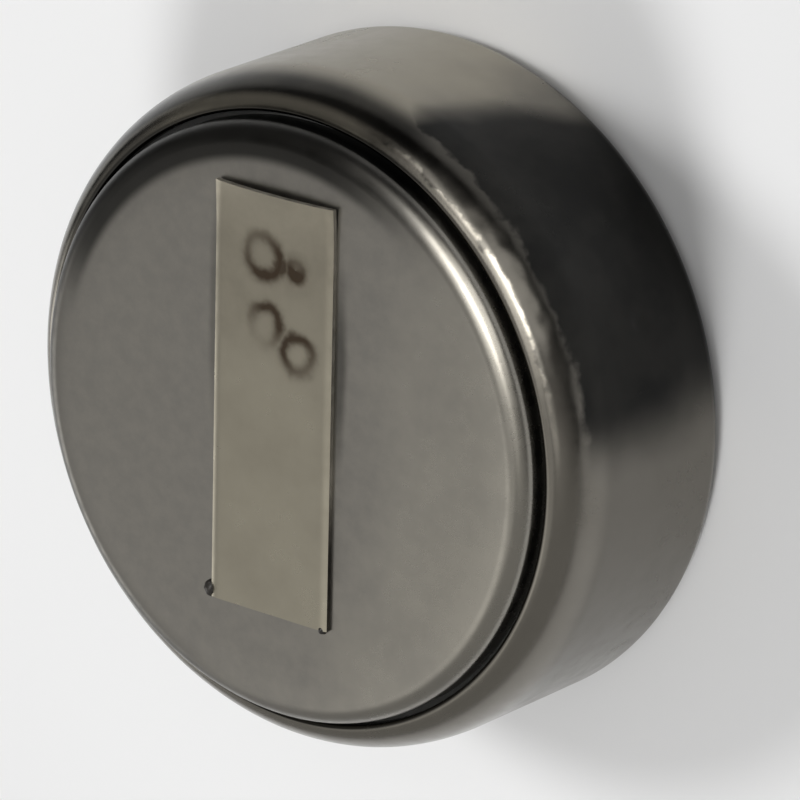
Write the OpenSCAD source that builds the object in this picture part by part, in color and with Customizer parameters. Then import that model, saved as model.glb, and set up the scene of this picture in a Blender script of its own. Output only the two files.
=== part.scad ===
// Sealed lithium coin cell with a wound roll inside and a nickel tab welded to its negative cap.
// The origin is the centre of the base. +Z points out of the cap and +Y runs along the tab.
// All lengths are in millimetres.

/* [Cell] */
// Outer diameter of the can
can_d = 14.1; // [12:0.1:20]
// Height from the base to the cap's face
cell_h = 5.4; // [4.8:0.1:8]

/* [Can] */
// Thickness of the can's sheet
can_t = 0.25; // [0.2:0.01:0.3]
// Rounding where the base turns into the wall
base_round = 0.35; // [0.3:0.01:0.6]
// How far the crimped shoulder comes in from the wall
shoulder_in = 0.66; // [0.6:0.01:0.9]
// Height of the crimped shoulder
shoulder_h = 1.34; // [1:0.01:1.6]
// Height of the cap's face above the can's lip
cap_proud = 0.56; // [0.4:0.01:0.8]
// Rounding of the lip's sheared edge
lip_round = 0.08; // [0.04:0.01:0.12]

/* [Cap] */
// Thickness of the cap's sheet
cap_t = 0.2; // [0.15:0.01:0.24]
// Open groove between the can's lip and the cap
groove_w = 0.29; // [0.2:0.01:0.4]
// How far in from the cap's side the face starts to round off
edge_in = 0.62; // [0.4:0.01:0.64]
// Height of the cap's rounded edge
edge_drop = 0.35; // [0.3:0.01:0.5]
// Inside rounding of the cap's pressed bends
bend_round = 0.05; // [0.02:0.01:0.1]

/* [Gasket] */
// Thickness of the gasket along the can's wall
seal_t = 0.35; // [0.3:0.01:0.4]
// Thickness of the gasket where the lip presses it onto the cap's step
seal_nip = 0.3; // [0.2:0.01:0.4]
// Thickness of the gasket under the cap's skirt
seal_foot = 0.35; // [0.2:0.01:0.5]
// Thickness of the gasket's inner rim
seal_rim_t = 0.2; // [0.15:0.01:0.25]
// Height of the gasket's inner rim beside the skirt
seal_rim_h = 0.5; // [0.3:0.05:1]
// Depth of the gasket's top below the can's lip
seal_recess = 0.32; // [0.3:0.01:0.5]

/* [Tab] */
// Width of the nickel tab
tab_w = 3; // [2:0.1:4]
// Thickness of the nickel tab
tab_t = 0.12; // [0.08:0.01:0.2]
// Reach of the tab from the cell's axis to its lifted end
tab_reach = 4.91; // [4.2:0.01:5.1]
// Reach of the tab from the cell's axis to its flat end
tab_tail = 3.92; // [3:0.01:5]
// Length of the stretch of tab that curls up
curl_l = 1.1; // [0.6:0.05:2]
// Height that the tab's end has lifted off the cap
curl_h = 0.14; // [0.05:0.01:0.3]

/* [Welds] */
// Diameter of the ring that each weld tip pressed into the tab
weld_d = 0.74; // [0.5:0.02:0.8]
// Width of the pressed ring
weld_ring_w = 0.16; // [0.08:0.01:0.2]
// Depth of the pressed ring
weld_ring_depth = 0.03; // [0.01:0.005:0.05]
// Distance between the two tips of one weld
weld_pitch = 0.92; // [0.8:0.02:1.4]
// Distance of the welds from the tab's middle line
weld_side = 0.1; // [0:0.02:0.3]
// Distance from the start of the curl to the far weld
weld_in = 0.35; // [0.3:0.05:1]
// Distance between the far weld and the near weld
weld_row_gap = 1.6; // [1.2:0.05:3]
// Turn of the far weld's pair of tips
weld_far_turn = -2; // [-45:1:45]
// Turn of the near weld's pair of tips
weld_near_turn = -34; // [-45:1:45]

/* [Roll] */
// Radius of the hollow middle of the roll
core_r = 0.9; // [0.7:0.05:1.5]
// Thickness of the coated aluminium cathode strip
cathode_t = 0.15; // [0.1:0.01:0.2]
// Thickness of the coated copper anode strip
anode_t = 0.15; // [0.1:0.01:0.2]
// Thickness of one separator film
separator_t = 0.03; // [0.02:0.005:0.05]
// How far the separators stand past the anode at each end of the roll
separator_over = 0.1; // [0.05:0.01:0.2]
// How far the anode stands past the cathode at each end of the roll
anode_over = 0.1; // [0.05:0.01:0.2]
// Thickness of the tape that closes the roll
tape_t = 0.05; // [0.03:0.01:0.08]
// Width of the tape, along the roll's height
tape_w = 3.2; // [1:0.1:4]
// Room between the roll and the cap's wall
roll_side_gap = 0.2; // [0.1:0.01:0.4]
// Room above the roll
roll_top_gap = 0.05; // [0.02:0.01:0.1]

/* [Leads] */
// Thickness of both leads
lead_t = 0.1; // [0.06:0.01:0.15]
// Width of the positive lead
positive_lead_w = 1.4; // [0.8:0.05:1.4]
// Width of the negative lead
negative_lead_w = 1.2; // [0.8:0.05:1.3]
// Reach of the positive lead from the cell's axis along the can's floor
lead_flat_l = 4.6; // [3:0.1:5]
// How far the negative lead passes the cell's axis
lead_past = 1.2; // [0.5:0.1:2]
// Length of each lead that is welded to its strip
lead_weld_l = 3.2; // [1:0.1:3.5]
// Thickness of the insulating discs
disc_t = 0.1; // [0.05:0.01:0.15]
// Clearance where a lead passes a disc
lead_gap = 0.1; // [0.05:0.01:0.2]

/* [Hidden] */
$fn = 96;

// Segments in a quarter round of a pressed section, and in one turn of the roll
arc_steps = 10;
turn_steps = 24;
// A cut reaches this far past what it cuts
past = 1;

// Can
can_r = can_d / 2;
bore_r = can_r - can_t;
lip_r = can_r - shoulder_in;
lip_z = cell_h - cap_proud;
wall_z = lip_z - shoulder_h;
inner_corner = base_round - can_t;

// Cap
cap_r = lip_r - groove_w;
cap_bore_r = cap_r - cap_t;
skirt_r = bore_r - seal_t;
skirt_bore_r = skirt_r - cap_t;
skirt_z = can_t + seal_foot;
step_z = lip_z - can_t - seal_nip;
step_w = skirt_r - cap_r;
step_fillet = min(bend_round, step_w / 4);
step_round = min(cap_t + bend_round, step_w - step_fillet);
step_round_in = max(step_round - cap_t, 0.01);
under_cap_z = cell_h - cap_t;

// Gasket
seal_top_z = lip_z - seal_recess;
seal_rim_r = skirt_bore_r - seal_rim_t;

// Tab and welds
tab_top_z = cell_h + tab_t;
curl_start = tab_reach - curl_l;
weld_far_y = curl_start - weld_in;
weld_near_y = weld_far_y - weld_row_gap;

// Stack inside the can, from the floor up
positive_disc_z = can_t + lead_t;
roll_z = positive_disc_z + disc_t;
negative_lead_z = under_cap_z - lead_t;
negative_disc_z = negative_lead_z - disc_t;
roll_h = negative_disc_z - roll_top_gap - roll_z;
anode_z = roll_z + separator_over;
anode_h = roll_h - 2 * separator_over;
cathode_z = anode_z + anode_over;
cathode_h = anode_h - 2 * anode_over;

// Roll: one turn holds an inner separator, the cathode, an outer separator and the anode
pitch = cathode_t + anode_t + 2 * separator_t;
roll_r = min(cap_bore_r, seal_rim_r) - roll_side_gap;
turns = floor((roll_r - core_r - separator_t - tape_t) / pitch) - 1;
cathode_in = separator_t;
outer_separator_in = cathode_in + cathode_t;
anode_in = outer_separator_in + separator_t;
last_step = turns * turn_steps;

// Where the strips start and end, in steps of the winding
positive_lead_step = 1;
inner_separator_start = turn_steps / 3;
cathode_end = last_step - turn_steps / 3;
outer_separator_end = cathode_end + 1;
negative_lead_step = last_step - turn_steps / 6;
outer_wrap_end = last_step + turn_steps;
tape_span = turn_steps / 4;
tape_slope = 2;

// A quarter round of an ellipse about c, from angle a to angle b
function arc(c, rx, rz, a, b) = [
    for (i = [0 : arc_steps])
        let (t = a + (b - a) * i / arc_steps)
        c + [rx * cos(t), rz * sin(t)]
];

// A corner of the winding: step i, at a distance out from the start of its turn
function corner(i, out) =
    let (r = core_r + pitch * i / turn_steps + out, t = 360 * i / turn_steps)
    r * [cos(t), sin(t)];

// Any place along the winding, on the straight line between two corners
function along(s, out) =
    let (i = floor(s), u = s - i)
    (1 - u) * corner(i, out) + u * corner(i + 1, out);

function edge_line(from, to, out) = concat(
    [along(from, out)],
    [for (i = [floor(from) + 1 : ceil(to) - 1]) corner(i, out)],
    [along(to, out)]
);

function reversed(list) = [for (i = [len(list) - 1 : -1 : 0]) list[i]];

// A strip wound between two steps, seen from above
module wound(from, to, out, thick)
    polygon(concat(edge_line(from, to, out), reversed(edge_line(from, to, out + thick))));

module wound_strip(from, to, out, thick, z, h)
    translate([0, 0, z])
        linear_extrude(height = h)
            wound(from, to, out, thick);

// The steps that a lead of width w covers where the winding has this step's radius
function steps_of(w, s, out) = w / norm(corner(s + 1, out) - corner(s, out));

// The outside of the can's shoulder, up to where the lip's rounding starts
lip_start_a = acos(lip_round / shoulder_in);
lip_start_z = wall_z + shoulder_h * sin(lip_start_a);

module positive_can()
    color([0.62, 0.61, 0.58])
        rotate_extrude()
            polygon(concat(
                [[0, 0]],
                arc([can_r - base_round, base_round], base_round, base_round, -90, 0),
                arc([lip_r, wall_z], shoulder_in, shoulder_h, 0, lip_start_a),
                arc([lip_r + lip_round, lip_start_z - lip_round], lip_round, lip_round, 90, 180),
                arc([lip_r, wall_z], shoulder_in - can_t, shoulder_h - can_t, 90, 0),
                arc([bore_r - inner_corner, can_t + inner_corner], inner_corner, inner_corner, 0, -90),
                [[0, can_t]]
            ));

module negative_cap()
    color([0.56, 0.55, 0.53])
        rotate_extrude()
            polygon(concat(
                [[0, under_cap_z]],
                arc([cap_r - edge_in, cell_h - edge_drop], edge_in - cap_t, edge_drop - cap_t, 90, 0),
                arc([cap_r + step_fillet, step_z + step_fillet], step_fillet + cap_t, step_fillet + cap_t,
                    180, 270),
                arc([skirt_r - step_round, step_z - step_round], step_round_in, step_round_in, 90, 0),
                [[skirt_bore_r, skirt_z], [skirt_r, skirt_z]],
                arc([skirt_r - step_round, step_z - step_round], step_round, step_round, 0, 90),
                arc([cap_r + step_fillet, step_z + step_fillet], step_fillet, step_fillet, 270, 180),
                arc([cap_r - edge_in, cell_h - edge_drop], edge_in, edge_drop, 0, 90),
                [[0, cell_h]]
            ));

module gasket()
    color([0.09, 0.09, 0.09])
        rotate_extrude()
            polygon(concat(
                [[seal_rim_r, can_t]],
                arc([bore_r - inner_corner, can_t + inner_corner], inner_corner, inner_corner, -90, 0),
                arc([lip_r, wall_z], shoulder_in - can_t, shoulder_h - can_t, 0, 90),
                [[cap_r, seal_top_z]],
                arc([cap_r + step_fillet, step_z + step_fillet], step_fillet, step_fillet, 180, 270),
                arc([skirt_r - step_round, step_z - step_round], step_round, step_round, 90, 0),
                [[skirt_r, skirt_z], [skirt_bore_r, skirt_z]],
                [[skirt_bore_r, skirt_z + seal_rim_h], [seal_rim_r, skirt_z + seal_rim_h]]
            ));

// The tab's side view: flat on the cap, with its far end curled up
function curl(y) = y < curl_start ? 0 : curl_h * pow((y - curl_start) / curl_l, 2);

function tab_line(rise) = concat(
    [[-tab_tail, rise]],
    [for (i = [0 : arc_steps]) let (y = curl_start + curl_l * i / arc_steps) [y, curl(y) + rise]]
);

// The round groove that one weld tip presses
module weld_ring()
    rotate_extrude()
        polygon(concat(
            arc([weld_d / 2, 0], weld_ring_w / 2, weld_ring_depth, 180, 360),
            [[(weld_d + weld_ring_w) / 2, past], [(weld_d - weld_ring_w) / 2, past]]
        ));

// One weld is made with a pair of tips
module weld(y, turn)
    translate([weld_side, y, tab_top_z])
        rotate([0, 0, turn])
            for (side = [-1, 1])
                translate([side * weld_pitch / 2, 0, 0])
                    weld_ring();

module welded_tab()
    color([0.66, 0.64, 0.6])
        difference() {
            translate([-tab_w / 2, 0, cell_h])
                rotate([90, 0, 90])
                    linear_extrude(height = tab_w)
                        polygon(concat(tab_line(0), reversed(tab_line(tab_t))));
            weld(weld_far_y, weld_far_turn);
            weld(weld_near_y, weld_near_turn);
        }

module cathode_strip()
    color([0.2, 0.2, 0.21])
        wound_strip(0, cathode_end, cathode_in, cathode_t, cathode_z, cathode_h);

module anode_strip()
    color([0.42, 0.24, 0.17])
        wound_strip(0, last_step, anode_in, anode_t, anode_z, anode_h);

module inner_separator()
    color([0.92, 0.92, 0.9])
        wound_strip(inner_separator_start, outer_wrap_end, 0, separator_t, roll_z, roll_h);

module outer_separator()
    color([0.88, 0.9, 0.92])
        wound_strip(0, outer_separator_end, outer_separator_in, separator_t, roll_z, roll_h);

// The tape lies on the outer wrap, slopes down over the roll's end and sticks to the turn below
function tape_drop(i) = -pitch * min(i / tape_slope, 1);

function tape_line(out) = concat(
    edge_line(outer_wrap_end - tape_span, outer_wrap_end, out),
    [for (i = [1 : tape_span]) corner(outer_wrap_end + i, out + tape_drop(i))]
);

module roll_tape()
    color([0.78, 0.52, 0.16])
        translate([0, 0, roll_z + (roll_h - tape_w) / 2])
            linear_extrude(height = tape_w)
                polygon(concat(tape_line(separator_t), reversed(tape_line(separator_t + tape_t))));

// Positive lead: curved against the cathode's bare inner end, then flat on the can's floor
positive_steps = steps_of(positive_lead_w, positive_lead_step, cathode_in);
positive_turn = 360 * (positive_lead_step + positive_steps / 2) / turn_steps;
positive_top_z = cathode_z + lead_weld_l;

module positive_lead()
    color([0.8, 0.8, 0.82])
        union() {
            wound_strip(positive_lead_step, positive_lead_step + positive_steps,
                cathode_in - lead_t, lead_t, can_t, positive_top_z - can_t);
            rotate([0, 0, positive_turn])
                translate([core_r / 2, -positive_lead_w / 2, can_t])
                    cube([lead_flat_l - core_r / 2, positive_lead_w, lead_t]);
        }

// Negative lead: flat against the anode's bare outer end, then folded in under the cap
negative_steps = steps_of(negative_lead_w, negative_lead_step, anode_in);
negative_mid = negative_lead_step + 1 / 2;
negative_from = negative_mid - negative_steps / 2;
negative_to = negative_mid + negative_steps / 2;
negative_turn = 360 * negative_mid / turn_steps;
negative_reach = norm(along(negative_mid, anode_in - lead_t));
negative_low_z = anode_z + anode_h - lead_weld_l;

module negative_lead()
    color([0.7, 0.69, 0.66])
        union() {
            wound_strip(negative_from, negative_to, anode_in - lead_t, lead_t,
                negative_low_z, under_cap_z - negative_low_z);
            rotate([0, 0, negative_turn])
                translate([-lead_past, -negative_lead_w / 2, negative_lead_z])
                    cube([negative_reach + lead_past + lead_t / 2, negative_lead_w, lead_t]);
        }

module base_insulator()
    color([0.85, 0.62, 0.25])
        translate([0, 0, positive_disc_z])
            difference() {
                cylinder(r = roll_r, h = disc_t);
                translate([0, 0, -past])
                    cylinder(r = norm(corner(positive_lead_step + positive_steps, cathode_in)) + lead_gap,
                        h = disc_t + 2 * past);
            }

module cap_insulator()
    color([0.85, 0.62, 0.25])
        translate([0, 0, negative_disc_z])
            difference() {
                cylinder(r = roll_r, h = disc_t);
                rotate([0, 0, negative_turn])
                    translate([negative_reach - lead_gap, -negative_lead_w / 2 - lead_gap, -past])
                        cube([roll_r, negative_lead_w + 2 * lead_gap, disc_t + 2 * past]);
            }

positive_can();
negative_cap();
gasket();
welded_tab();
cathode_strip();
anode_strip();
inner_separator();
outer_separator();
roll_tape();
positive_lead();
negative_lead();
base_insulator();
cap_insulator();
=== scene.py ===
import math

import bmesh
import bpy
from bpy.props import FloatProperty, FloatVectorProperty, IntProperty, PointerProperty
from mathutils import Matrix, Quaternion, Vector, noise


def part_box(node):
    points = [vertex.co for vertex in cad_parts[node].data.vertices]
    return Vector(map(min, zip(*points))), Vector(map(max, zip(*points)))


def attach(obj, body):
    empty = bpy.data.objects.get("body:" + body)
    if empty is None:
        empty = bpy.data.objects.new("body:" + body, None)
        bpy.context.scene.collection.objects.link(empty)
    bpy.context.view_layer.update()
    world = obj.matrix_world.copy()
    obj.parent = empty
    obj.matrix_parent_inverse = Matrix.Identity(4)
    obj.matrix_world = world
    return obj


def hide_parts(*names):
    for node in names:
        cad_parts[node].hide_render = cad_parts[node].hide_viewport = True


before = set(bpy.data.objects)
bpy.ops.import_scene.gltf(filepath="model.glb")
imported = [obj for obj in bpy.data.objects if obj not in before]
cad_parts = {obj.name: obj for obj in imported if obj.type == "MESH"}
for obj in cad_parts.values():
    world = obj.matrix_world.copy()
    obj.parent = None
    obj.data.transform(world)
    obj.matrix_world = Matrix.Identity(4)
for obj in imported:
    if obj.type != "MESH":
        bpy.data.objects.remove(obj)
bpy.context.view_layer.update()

bl_info = {
    "name": "Welded Coin Cell",
    "version": (1, 0, 0),
    "blender": (4, 5, 0),
    "location": "View3D > Sidebar > Coin Cell",
    "description": "A sealed coin cell with a crimped can, a raised cap and a spot-welded tab",
    "category": "Object",
}

MM = 0.001
CAN_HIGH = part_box("positive_can")[1]
CAP_LOW, CAP_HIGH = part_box("negative_cap")
TAB_LOW, TAB_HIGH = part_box("welded_tab")

# Two vertices closer than this are one, and a crease sharper than this shows as a hard edge
MERGE_DISTANCE = 1e-8
SHARP_ANGLE = math.radians(40)


def bearing(turn, rise):
    """A direction, from its turn around the axis, +X towards +Y, and its rise above the floor, in degrees."""
    around, up = math.radians(turn), math.radians(rise)
    level = math.cos(up)
    return Vector((level * math.cos(around), level * math.sin(around), math.sin(up)))


# Sizes and colours that a user would change

class CellSizes(bpy.types.PropertyGroup):
    can_radius: FloatProperty(
        name="Can radius", description="Outer radius of the can",
        default=CAN_HIGH.x, unit="LENGTH")
    cell_height: FloatProperty(
        name="Cell height", description="Height of the cap's face above the base",
        default=CAP_HIGH.z, unit="LENGTH")
    lip_height: FloatProperty(
        name="Lip height", description="Height of the can's lip above the base",
        default=CAN_HIGH.z, unit="LENGTH")
    can_sheet: FloatProperty(
        name="Can sheet", description="Thickness of the can's sheet", default=0.25 * MM, unit="LENGTH")
    base_round: FloatProperty(
        name="Base rounding", description="Rounding between base and wall",
        default=0.35 * MM, unit="LENGTH")
    shoulder_in: FloatProperty(
        name="Shoulder reach", description="How far the crimped shoulder comes in",
        default=0.66 * MM, unit="LENGTH")
    shoulder_height: FloatProperty(
        name="Shoulder height", description="Height of the crimped shoulder",
        default=1.34 * MM, unit="LENGTH")
    lip_round: FloatProperty(
        name="Lip rounding", description="Rounding of the lip's edge", default=0.08 * MM, unit="LENGTH")
    lip_reach: FloatProperty(
        name="Lip reach", description="How far the lip comes in past the crimped shoulder",
        default=0.08 * MM, unit="LENGTH")
    groove: FloatProperty(
        name="Groove", description="Open groove between lip and cap", default=0.11 * MM, unit="LENGTH")
    cap_sheet: FloatProperty(
        name="Cap sheet", description="Thickness of the cap's sheet", default=0.2 * MM, unit="LENGTH")
    cap_edge_in: FloatProperty(
        name="Cap edge reach", description="Width of the cap's rounded edge",
        default=0.42 * MM, unit="LENGTH")
    cap_edge_drop: FloatProperty(
        name="Cap edge drop", description="Height of the cap's rounded edge",
        default=0.33 * MM, unit="LENGTH")
    dome_start: FloatProperty(
        name="Dome start", description="Radius at which the cap's face starts to fall away",
        default=5.0 * MM, unit="LENGTH")
    dome_drop: FloatProperty(
        name="Dome drop", description="How far the face has fallen at the cap's wall",
        default=0.08 * MM, unit="LENGTH")
    cap_step: FloatProperty(
        name="Cap step height", description="Height of the step that the crimp bears on",
        default=4.29 * MM, unit="LENGTH")
    step_bend: FloatProperty(
        name="Step bend", description="Inner radius of the bends beside the step",
        default=0.02 * MM, unit="LENGTH")
    turn_steps: IntProperty(
        name="Turn steps", description="Flat steps in one turn of the cap", default=240, min=32)
    arc_steps: IntProperty(
        name="Arc steps", description="Steps in a rounded part of a section", default=20, min=4)


class TabSizes(bpy.types.PropertyGroup):
    thickness: FloatProperty(
        name="Thickness", description="Thickness of the tab's strip", default=0.12 * MM, unit="LENGTH")
    curl_length: FloatProperty(
        name="Curl length", description="Length of the stretch that has lifted",
        default=1.1 * MM, unit="LENGTH")
    corner_lift: FloatProperty(
        name="Corner lift", description="Share of the curl's height that the end's corners reach",
        default=0.3, min=0.0, max=1.0)
    cell: FloatProperty(
        name="Mesh step", description="Spacing of the tab's mesh", default=0.045 * MM, unit="LENGTH")
    edge_roll: FloatProperty(
        name="Edge rollover", description="Depth that the shearing rolled the long edges down",
        default=0.03 * MM, unit="LENGTH")
    roll_width: FloatProperty(
        name="Rollover width", description="Width of the rolled edge", default=0.2 * MM, unit="LENGTH")
    weld_radius: FloatProperty(
        name="Weld radius", description="Radius of the ring that a weld tip pressed",
        default=0.42 * MM, unit="LENGTH")
    weld_stroke: FloatProperty(
        name="Weld stroke", description="Half width of the pressed ring", default=0.1 * MM, unit="LENGTH")
    weld_depth: FloatProperty(
        name="Weld depth", description="Depth of the pressed ring", default=0.004 * MM, unit="LENGTH")


class CellColours(bpy.types.PropertyGroup):
    can_plate: FloatVectorProperty(
        name="Can plate", description="Nickel plate of the can", subtype="COLOR",
        size=4, default=(0.20, 0.188, 0.166, 1.0), min=0.0, max=1.0)
    can_film: FloatVectorProperty(
        name="Can film", description="Faint darker film on the can", subtype="COLOR",
        size=4, default=(0.175, 0.164, 0.143, 1.0), min=0.0, max=1.0)
    # Painted reflection: this lighter colour brightens one side of the can's wall.
    can_painted_light: FloatVectorProperty(
        name="Can bright", description="Cleaner stretch of the can's wall", subtype="COLOR",
        size=4, default=(0.345, 0.32, 0.265, 1.0), min=0.0, max=1.0)
    # Painted shade: this colour darkens one side of the can's wall, its shoulder, crimp and lip, and the
    # cap's wall, rim, top band and the shadows beside the tab.
    shade_paint_colour: FloatVectorProperty(
        name="Can tarnish", description="Smoky film on one side of the can", subtype="COLOR",
        size=4, default=(0.016, 0.016, 0.0155, 1.0), min=0.0, max=1.0)
    cap_plate: FloatVectorProperty(
        name="Cap plate", description="Nickel plate of the cap", subtype="COLOR",
        size=4, default=(0.288, 0.274, 0.242, 1.0), min=0.0, max=1.0)
    # Also the darker end of the painted gradient of light across the cap's face.
    cap_film_and_shade: FloatVectorProperty(
        name="Cap film", description="Faint darker film on the cap", subtype="COLOR",
        size=4, default=(0.200, 0.192, 0.178, 1.0), min=0.0, max=1.0)
    tab_plate: FloatVectorProperty(
        name="Tab nickel", description="Rolled nickel of the tab", subtype="COLOR",
        size=4, default=(0.290, 0.270, 0.219, 1.0), min=0.0, max=1.0)
    tab_film: FloatVectorProperty(
        name="Tab film", description="Warmer film on the tab", subtype="COLOR",
        size=4, default=(0.238, 0.219, 0.177, 1.0), min=0.0, max=1.0)
    edge_dark: FloatVectorProperty(
        name="Edge dark", description="Darkest streaks of the tab's sheared edge", subtype="COLOR",
        size=4, default=(0.03, 0.028, 0.024, 1.0), min=0.0, max=1.0)
    edge_grey: FloatVectorProperty(
        name="Edge grey", description="Lighter streaks of the tab's sheared edge", subtype="COLOR",
        size=4, default=(0.10, 0.095, 0.085, 1.0), min=0.0, max=1.0)
    # Painted light: this lighter colour brightens a stretch of the tab's sheared edge.
    edge_painted_light: FloatVectorProperty(
        name="Edge clean", description="Cleaner stretch of the tab's sheared edge", subtype="COLOR",
        size=4, default=(0.45, 0.43, 0.38, 1.0), min=0.0, max=1.0)
    heat_brown: FloatVectorProperty(
        name="Heat brown", description="Burnt ring of a spot weld", subtype="COLOR",
        size=4, default=(0.05, 0.034, 0.022, 1.0), min=0.0, max=1.0)
    gasket_black: FloatVectorProperty(
        name="Gasket black", description="Moulded plastic of the gasket", subtype="COLOR",
        size=4, default=(0.10, 0.10, 0.097, 1.0), min=0.0, max=1.0)
    floor_pale: FloatVectorProperty(
        name="Floor", description="Plain pale floor", subtype="COLOR",
        size=4, default=(0.88, 0.88, 0.88, 1.0), min=0.0, max=1.0)


class StageSettings(bpy.types.PropertyGroup):
    view_distance: FloatProperty(
        name="View distance", description="Distance from camera to cell", default=0.15173, unit="LENGTH")
    view_turn: FloatProperty(
        name="View turn", description="Camera's bearing around the cell, in degrees", default=29.795)
    view_rise: FloatProperty(
        name="View rise", description="Camera's angle above the floor, in degrees", default=47.424)
    view_roll: FloatProperty(
        name="View roll", description="Camera's roll about its line of sight, in degrees", default=-111.578)
    lens: FloatProperty(
        name="Lens", description="Focal length in millimetres", default=335.42)
    key_strength: FloatProperty(
        name="Key strength", description="Strength of each soft key light, in watts", default=1.7)
    fill_strength: FloatProperty(
        name="Fill strength", description="Strength of the light from all over the ceiling", default=1.1)


# Mesh work shared by the pieces

def new_piece(name, mesh_maker, material, stands_for):
    """A finished piece at the origin, riding on the cell in place of a node."""
    bm = bmesh.new()
    mesh_maker(bm)
    mesh = bpy.data.meshes.new(name)
    bm.to_mesh(mesh)
    bm.free()
    piece = bpy.data.objects.new(name, mesh)
    bpy.context.scene.collection.objects.link(piece)
    mesh.materials.append(material)
    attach(piece, "root")
    if stands_for:
        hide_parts(stands_for)
    return piece


def pen_down(bm, radius, height):
    """The first vertex of a section, in the plane through the cell's axis."""
    return bm.verts.new((radius, 0.0, height))


def line_to(bm, end, radius, height):
    """A straight stretch of section from its end vertex."""
    grown = bmesh.ops.extrude_vert_indiv(bm, verts=[end])
    tip = grown["verts"][0]
    tip.co = Vector((radius, 0.0, height))
    return tip


def arc_to(bm, end, centre, sweep, steps, stretch=1.0):
    """A rounded stretch of section, spun about a centre and then stretched in height."""
    middle = Vector((centre[0], 0.0, centre[1]))
    start = end.co.copy()
    before = set(bm.verts)
    upright = middle + Vector((start.x - middle.x, 0.0, (start.z - middle.z) / stretch))
    end.co = upright
    spun = bmesh.ops.spin(
        bm, geom=[end], cent=middle, axis=(0.0, 1.0, 0.0), angle=-math.radians(sweep),
        steps=steps, use_merge=False)
    for vert in set(bm.verts) - before | {end}:
        vert.co.z = middle.z + (vert.co.z - middle.z) * stretch
    return next(part for part in spun["geom_last"] if isinstance(part, bmesh.types.BMVert))


def turn_section(bm, steps):
    """Spins a section once around the cell's axis, closes its poles and marks its hard edges."""
    bmesh.ops.spin(
        bm, geom=bm.verts[:] + bm.edges[:], cent=(0, 0, 0), axis=(0, 0, 1),
        angle=2 * math.pi, steps=steps, use_merge=True)
    bmesh.ops.remove_doubles(bm, verts=bm.verts[:], dist=MERGE_DISTANCE)
    bmesh.ops.dissolve_degenerate(bm, edges=bm.edges[:], dist=MERGE_DISTANCE)
    bmesh.ops.recalc_face_normals(bm, faces=bm.faces[:])
    for face in bm.faces:
        face.smooth = True
    for edge in bm.edges:
        edge.smooth = edge.calc_face_angle(0.0) < SHARP_ANGLE


def soft_bump(distance, reach):
    """1 at the centre, falling smoothly to 0 a little past the reach."""
    return math.exp(-(distance / reach) ** 2)


# The can: dents are (turn, height, width around, width along, depth), in degrees and millimetres
CAN_DENTS = (
    (57, 4.62, 0.44, 0.12, 0.008),
    (50, 4.64, 0.20, 0.10, 0.010),
    (45, 4.44, 0.16, 0.13, 0.009),
    (39.5, 4.50, 0.24, 0.14, 0.012),
    (33, 4.54, 0.14, 0.10, 0.008),
    (29.5, 4.46, 0.18, 0.15, 0.012),
    (22, 4.44, 0.28, 0.16, 0.010),
    (13, 4.54, 0.40, 0.20, 0.008),
    (78, 4.72, 0.26, 0.10, 0.016),
    (24, 2.09, 0.12, 0.12, 0.040),
)

# Unevenness of the wall and shoulder, in waves per millimetre, closer along the axis than around it
RIPPLE_DEPTH = 0.006 * MM
RIPPLE_WAVES = 0.9
RIPPLE_CLOSER = 1.6
# Share of the shoulder's reach that is uneven; the lip beyond it stays round
UNEVEN_SHARE = 0.9


def can_section(bm, sizes):
    """The can's sheet, from the middle of its base up to the lip and back down inside."""
    wall_top = sizes.lip_height - sizes.shoulder_height
    crimp_radius = sizes.can_radius - sizes.shoulder_in
    lip_radius = crimp_radius - sizes.lip_reach
    outer_in = sizes.shoulder_in + sizes.lip_reach
    bore = sizes.can_radius - sizes.can_sheet
    inner_round = sizes.base_round - sizes.can_sheet
    outer_stretch = sizes.shoulder_height / outer_in
    inner_in = sizes.shoulder_in - sizes.can_sheet
    inner_rise = sizes.shoulder_height - sizes.can_sheet
    steps = sizes.arc_steps
    end = pen_down(bm, 0.0, 0.0)
    end = line_to(bm, end, sizes.can_radius - sizes.base_round, 0.0)
    end = arc_to(bm, end, (sizes.can_radius - sizes.base_round, sizes.base_round), 90, steps)
    for level in range(1, steps):
        height = sizes.base_round + (wall_top - sizes.base_round) * level / steps
        end = line_to(bm, end, sizes.can_radius, height)
    end = line_to(bm, end, sizes.can_radius, wall_top)
    lip_sweep = math.degrees(math.acos(sizes.lip_round / outer_in))
    end = arc_to(bm, end, (lip_radius, wall_top), lip_sweep, steps * 2, outer_stretch)
    lip_top = end.co.z
    end = line_to(bm, end, lip_radius + sizes.lip_round, lip_top)
    end = arc_to(bm, end, (lip_radius + sizes.lip_round, lip_top - sizes.lip_round), 90, steps // 2)
    end = line_to(bm, end, lip_radius, sizes.lip_height - sizes.can_sheet)
    end = line_to(bm, end, crimp_radius, sizes.lip_height - sizes.can_sheet)
    end = arc_to(bm, end, (crimp_radius, wall_top), -90, steps, inner_rise / inner_in)
    end = line_to(bm, end, bore, sizes.can_sheet + inner_round)
    end = arc_to(bm, end, (bore - inner_round, sizes.can_sheet + inner_round), -90, steps // 2)
    line_to(bm, end, 0.0, sizes.can_sheet)


def dent(bm, dents, outside):
    """Presses shallow dents into the faces that lie past a radius."""
    for vert in bm.verts:
        radius = vert.co.xy.length
        if radius < outside:
            continue
        turn = math.degrees(math.atan2(vert.co.y, vert.co.x))
        for centre, height, around, along, depth in dents:
            off_turn = (turn - centre + 180) % 360 - 180
            off_round = math.radians(off_turn) * radius / MM
            off_height = vert.co.z / MM - height
            if abs(off_round) < 3 * around and abs(off_height) < 3 * along:
                press = depth * MM * soft_bump(off_round, around) * soft_bump(off_height, along)
                vert.co -= vert.normal * press


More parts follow.
